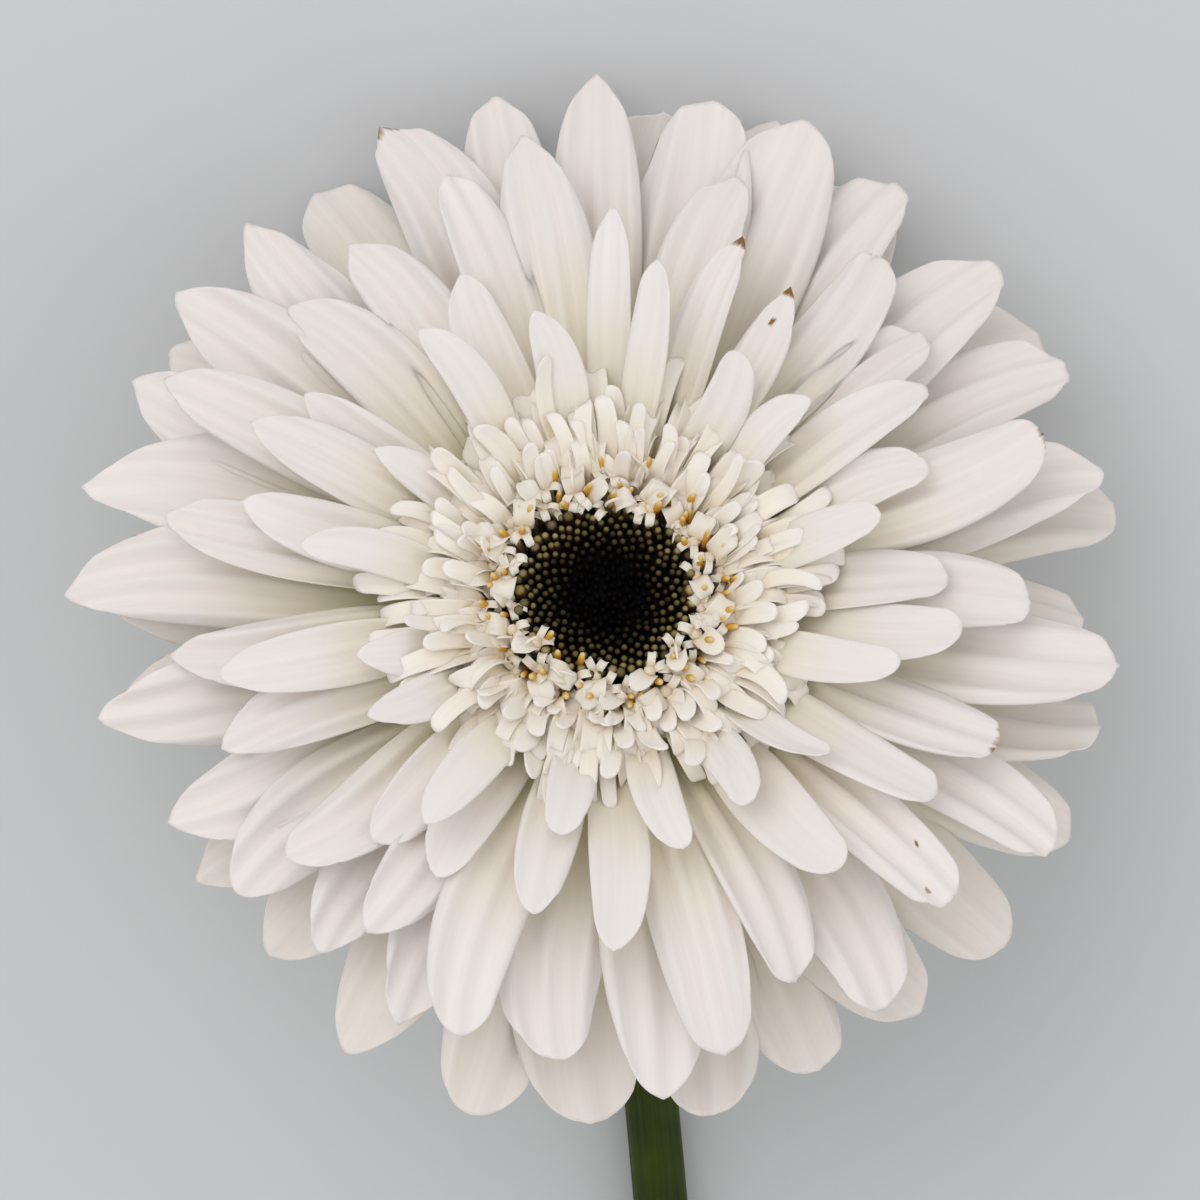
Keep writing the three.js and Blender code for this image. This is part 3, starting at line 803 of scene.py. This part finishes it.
openDisc = {"counts": [36, 38], "insets": [5.6, 4.8], "tilts": [8, 25], "styles": 9, "seed": 71}
dice = np.random.default_rng(openDisc["seed"])
places, axes, scales = [], [], []
for count, inset, tilt in zip(openDisc["counts"], openDisc["insets"], openDisc["tilts"]):
    radius = coreRadius - inset + dice.uniform(-0.3, 0.3, count)
    clocks = (np.arange(count) + dice.uniform(-0.35, 0.35, count)) * 2 * np.pi / count
    height = faceAt(radius) + clearance + dice.uniform(-0.5, 0.4, count)
    places.append(np.stack([radius * np.sin(clocks), radius * np.cos(clocks), height], -1))
    tilts = np.radians(tilt + dice.uniform(-13, 13, count))
    axes.append(leaningAxes(clocks, tilts, np.radians(dice.uniform(-90, 90, count))))
    scales.append(dice.uniform(0.92, 1.18, count))
places, axes, scales = np.concatenate(places), np.concatenate(axes), np.concatenate(scales)
kinds = dice.integers(0, 3, len(places))
for kind, lean in enumerate([-60, -110, 15]):  # degrees that the outer lip curls
    chosen = kinds == kind
    scatter(discCorolla(lean, kind), places[chosen], axes[chosen], scales[chosen]).finish(
        f"discCorollas{kind + 1}", corollaTissue, "disc_cream", ["disc_florets"])
# each anther tube's own z axis swings a little to one side
swing = axes + dice.uniform(-0.3, 0.3, (len(places), 1, 3)) * np.array([[[0], [0], [1.0]]])
swing = swing / np.linalg.norm(swing, axis=-1, keepdims=True)
scatter(antherTube(), places, swing, scales).finish("discAnthers", pollen, "disc_cream")
chosen = dice.permutation(len(places))[:openDisc["styles"]]
scatter(spentStyle(), places[chosen], axes[chosen], scales[chosen] * 1.1).finish(
    "discStyles", corollaTissue, "disc_cream")
print("open disc florets made")


# the closed buds of the eye
budPlan = {
    "count": 340,
    "spiral": 137.508,  # degrees from each bud to the next, so that it stands between its neighbours
    "cushion": [(1, 0), (1, 0.62), (0.97, 0.8), (0.86, 0.86), (0.6, 0.8), (0.3, 0.66), (0.08, 0.6)],
    "height": 4,       # of the cushion, in mm
    "capFrom": 3.9, "capFull": 8.8, "swollenFrom": 8.7,  # mm from the middle of the eye
    "seed": 83,
}


# height of the cushion under a bud, read off its profile of (share of radius, share of height)
def cushionAt(radius):
    shares = np.array(budPlan["cushion"][1:][::-1])
    share = np.interp(radius / eyeRadius, shares[:, 0], shares[:, 1])
    return faceRise + clearance + budPlan["height"] * share


cushion = Build()
profile = np.array(budPlan["cushion"])
heights = faceRise + clearance + profile[:, 1] * budPlan["height"]
points, bands, fans = sleeve(turnedRings(profile[:, 0] * eyeRadius, heights, 48))
cushion.put(points, bands, fans)
cushion.finish("budCushion", budSkin, "bud_dark", ["disc_buds"])

budShape = Build()
radii = [0.3, 0.42, 0.46, 0.4, 0.25, 0.09]
heights = [-0.6, 0.0, 0.6, 1.0, 1.24, 1.32]
points, bands, fans = sleeve(turnedRings(radii, heights, 7))
share = np.clip(points[:, 2:3] / heights[-1], 0, 1)
budShape.put(points, bands, fans, tint=alongTint(share))

dice = np.random.default_rng(budPlan["seed"])
order = np.arange(budPlan["count"]) + 0.5
clocks = order * np.radians(budPlan["spiral"])
radius = eyeRadius * 0.94 * np.sqrt(order / budPlan["count"])
places = np.stack([radius * np.sin(clocks), radius * np.cos(clocks), cushionAt(radius)], -1)
places += dice.uniform(-0.14, 0.14, places.shape)
tilts = np.radians(14) * (radius / eyeRadius) ** 2 + np.radians(dice.uniform(-5, 5, len(order)))
size = 0.82 + 0.3 * (radius / eyeRadius) ** 2 + dice.uniform(-0.05, 0.05, len(order))
size *= 1 + (radius > budPlan["swollenFrom"]) * dice.uniform(0, 0.7, len(order))
spins = dice.uniform(0, fullTurn, len(order))
buds = scatter(budShape, places, leaningAxes(clocks, tilts, spins), size)
ripe = np.clip((radius - budPlan["capFrom"]) / (budPlan["capFull"] - budPlan["capFrom"]), 0, 1)
capShade = ripe ** 1.3 * dice.uniform(0.25, 1.0, len(order))
capColour = np.clip((radius / eyeRadius) ** 3 + dice.uniform(-0.2, 0.2, len(order)), 0, 1)
each = len(budShape.points[0])
buds.tints[0][:, 1] = np.repeat(capShade, each)
buds.tints[0][:, 2] = np.repeat(capColour, each)
buds.finish("discBuds", budSkin, "bud_dark")
print("buds made")


# The cup's wall gets steeper evenly from the stem to the rim: its slope's cosine and sine,
# summed along the wall, give its radius and height. Its depth is a share of the rim's radius.
cup = {"stemRadius": 4.1, "rise": 12, "droop": 76, "depth": 0.84, "rim": 0.4}
cupDepth = cup["depth"] * coreRadius
wallSlope = np.radians(np.linspace(cup["rise"], cup["droop"], 41))
wallRun, wallLift = runAndLift(wallSlope)
cupLength = (coreRadius - cup["stemRadius"]) / wallRun[-1]
radii = np.concatenate([
    cup["stemRadius"] + wallRun[::4] * cupLength,
    [coreRadius, coreRadius - cup["rim"], eyeRadius, eyeRadius * 0.5],
])
heights = np.concatenate([
    -cupDepth + wallLift[::4] * cupLength, [-cup["rim"], 0, faceRise, faceRise],
])
build = Build()
points, bands, fans = sleeve(turnedRings(radii, heights, 64))
tint = np.zeros((len(points), 4))
tint[:, 1] = np.clip(points[:, 2] + 0.6, 0, 1)  # pale from just under the rim up
build.put(points, bands, fans, tint=tint)
build.finish("receptacleCup", bractSkin, "bract_green", ["receptacle"])

bractLook = {
    "rings": 20, "columns": 9, "thickness": 0.5,
    "baseWidth": 2.6, "belly": 0.35, "taper": 0.75, "tip": 1.6, "point": 1.0, "widthSpread": 0.1,
    "keel": -0.06, "pleatDepth": 0.1, "rollSpread": 6, "droopSpread": 3, "bowSpread": 0.05,
}
bractRows = {
    "inner": {"offset": 0.6, "share": 0.9, "count": 22, "shift": 0, "width": 3.8, "seed": 97},
    "outer": {"offset": 1.55, "share": 0.66, "count": 20, "shift": 0.5, "width": 3.6, "seed": 101},
}
for name, plan in bractRows.items():
    dice = np.random.default_rng(plan["seed"])
    build = Build()
    end = cup["rise"] + (cup["droop"] - cup["rise"]) * plan["share"]
    row = {"radius": cup["stemRadius"] + plan["offset"], "height": -cupDepth - plan["offset"],
           "rise": cup["rise"], "droop": end, "cup": -0.12}
    slopes = np.radians(np.linspace(row["rise"], end, 41))
    reach = row["radius"] + runAndLift(slopes)[0][-1] * cupLength * plan["share"]
    for i in range(plan["count"]):
        clock = (i + plan["shift"]) * 360 / plan["count"] + dice.uniform(-2, 2)
        look = {**bractLook, "width": plan["width"]}
        points, quads, uv, tint = blade(clock, reach + dice.uniform(-0.5, 0.5), row, look, dice)
        tint[:, 1] = np.clip(tint[:, 0] * 1.6 - 1.1, 0, 0.5)  # pale towards the tip
        build.put(points, quads, uv=uv, tint=tint)
    build.finish(f"{name}Bracts", bractSkin, "bract_green", [f"{name}_bracts"])
print("cup and bracts made")


stemPlan = {
    "length": 400, "neckRadius": 3.0, "endRadius": 3.6, "flare": 1.1, "flareLength": 4,
    "swing": 8,          # degrees that it leaves sideways before it bows back
    "cutSlant": 35, "ribs": 9, "ribDepth": 0.02, "around": 54,
    "boreShare": 0.36,   # the pith bore's radius as a share of the cut's
    "boreDepth": 12, "step": 0.25,
}


# evenly thicker from the neck to the cut, and a flare that dies away below the head as exp(-s)
def stemRadius(s):
    plan = stemPlan
    return (plan["neckRadius"] + (plan["endRadius"] - plan["neckRadius"]) * s / plan["length"]
            + plan["flare"] * np.exp(-s / plan["flareLength"]))


# The middle line dips from the head's axis to level in an even bend, then lies on the surface a
# radius above it; its heading swings sideways and back. Steps along it are summed into points.
def stemLine():
    plan = stemPlan
    start = toWorld(np.array([0, 0, -cupDepth - clearance])) / mm
    steepest = np.pi / 2 - headLean
    bend = steepest * (start[2] - plan["neckRadius"]) / (1 - np.cos(steepest))
    step = plan["step"]
    s = np.arange(0, plan["length"] + step / 2, step)
    dip = steepest * np.maximum(0, 1 - s / bend)
    swing = np.radians(plan["swing"]) * (1 - 2 * s / plan["length"]) * (1 - np.exp(-s / 15))
    heading = np.stack([np.sin(swing), -np.cos(swing), 0 * s], -1)
    along = heading * np.cos(dip)[:, None]
    along[:, 2] = -np.sin(dip)
    points = start + np.concatenate([np.zeros((1, 3)), np.cumsum(along[:-1] * step, 0)])
    radius = stemRadius(s)
    points[:, 2] = np.where(s > bend, radius, np.maximum(points[:, 2], radius))
    return s, points, heading, along, bend


# Rings round the middle line, each point at the radius times a rib |sin(n a / 2)| along the
# line's side and upper directions; the last ring slides along the line by the cut's slant, and
# smaller rings inside it make the cut face and the bore.
def stemRings():
    plan = stemPlan
    s, line, heading, along, bend = stemLine()
    places = np.concatenate([np.linspace(0, bend, 60), np.linspace(bend, plan["length"], 120)])
    pick = np.unique(np.round(places / plan["step"]).astype(int))
    side = np.stack([-heading[:, 1], heading[:, 0], 0 * s], -1)
    over = np.cross(along, side)
    angle = np.arange(plan["around"]) / plan["around"] * 2 * np.pi
    x, y = np.cos(angle), np.sin(angle)
    ribbed = 1 + plan["ribDepth"] * (np.abs(np.sin(plan["ribs"] / 2 * angle)) - 1)
    radius = stemRadius(s[pick])[:, None] * ribbed
    rings = (line[pick][:, None] + (radius * x)[..., None] * side[pick][:, None]
             + (radius * y)[..., None] * over[pick][:, None])
    slant = np.tan(np.radians(plan["cutSlant"]))
    last = pick[-1]
    slid = -slant * stemRadius(s[last]) * y
    rings[-1] += slid[:, None] * along[last]
    bore, ends = plan["boreShare"], []
    cutFace = [(0.9, 0), (0.62, 0.1), (bore, 0.15), (bore - 0.06, 3), (bore - 0.12, plan["boreDepth"])]
    for share, depth in cutFace:
        ring = line[last] + (rings[-1] - line[last] - slid[:, None] * along[last]) * share
        flat = slid * share if depth < 1 else slid * 0
        ends.append(ring + (flat - depth)[:, None] * along[last])
    pith = np.concatenate([np.zeros(len(pick)), [0.5, 1, 0.9, 0.5, 0.3]])
    lengths = np.concatenate([s[pick], np.full(len(ends), plan["length"])]) / 10
    return np.concatenate([rings, np.stack(ends)]) * mm, pith, lengths


rings, pith, lengths = stemRings()
points, bands, fans = sleeve(rings)
around = stemPlan["around"]
uv = np.stack([np.tile(np.abs(np.arange(around) / around - 0.5) * 4, len(rings)),
               np.repeat(lengths, around)], -1)
uv = np.concatenate([uv, [[0, 0], [0, lengths[-1]]]])
tint = np.zeros((len(points), 4))
tint[:-2, 1] = np.repeat(pith, around)
stem = Build()
stem.put(points, bands, fans, uv, tint)
stem.finish("stemScape", scapeSkin, "stem_green", ["stem"], world=True)
print("stem made")


# Pale matt paper, very faintly clouded, so the floor has no shine.
def palePaper():
    material, tree = newMaterial("paleFloorPaper")
    cloud = noiseOf(tree, 6, 3)
    colour = addNode(tree, "ValToRGB", {"stops": [(0.3, "#D0D3D7"), (0.7, "#D1D4D8")]},
                     {0: cloud.outputs[0]})
    shader = addNode(tree, "BsdfPrincipled", {"Roughness": 0.9, "Specular IOR Level": 0.1},
                     {"Base Color": colour.outputs[0]})
    closeMaterial(tree, shader)
    return material


floorMesh = bpy.data.meshes.new("floor")
floorMesh.from_pydata([(-4, -4, 0), (4, -4, 0), (4, 4, 0), (-4, 4, 0)], [], [(0, 1, 2, 3)])
floorMesh.materials.append(palePaper())
floor = bpy.data.objects.new("floor", floorMesh)
bpy.context.collection.objects.link(floor)

# a wide soft light high to the left, a fainter one from the other side, and an even sky
lightPlan = {
    "key": {"place": (-0.42, 0.66, 1.05), "size": 1.2, "power": 5.2, "colour": "#FFFBF7"},
    "fill": {"place": (0.9, -0.5, 0.9), "size": 1.2, "power": 1.5, "colour": "#FFFDFA"},
}
skyPlan = {"colour": "#F5F3F1", "strength": 0.75}
aim = Vector(headOrigin)
for name, plan in lightPlan.items():
    data = bpy.data.lights.new(name, "AREA")
    data.shape, data.size, data.energy = "DISK", plan["size"], plan["power"]
    data.color = linear(plan["colour"])[:3]
    lamp = bpy.data.objects.new(name, data)
    bpy.context.collection.objects.link(lamp)
    lamp.location = aim + Vector(plan["place"])
    lamp.rotation_euler = (aim - lamp.location).to_track_quat("-Z", "Y").to_euler()

world = bpy.data.worlds.new("studio")
bpy.context.scene.world = world
world.use_nodes = True
sky = world.node_tree.nodes["Background"]
sky.inputs[0].default_value = linear(skyPlan["colour"])
sky.inputs[1].default_value = skyPlan["strength"]
bpy.context.scene.view_settings.view_transform = "Standard"
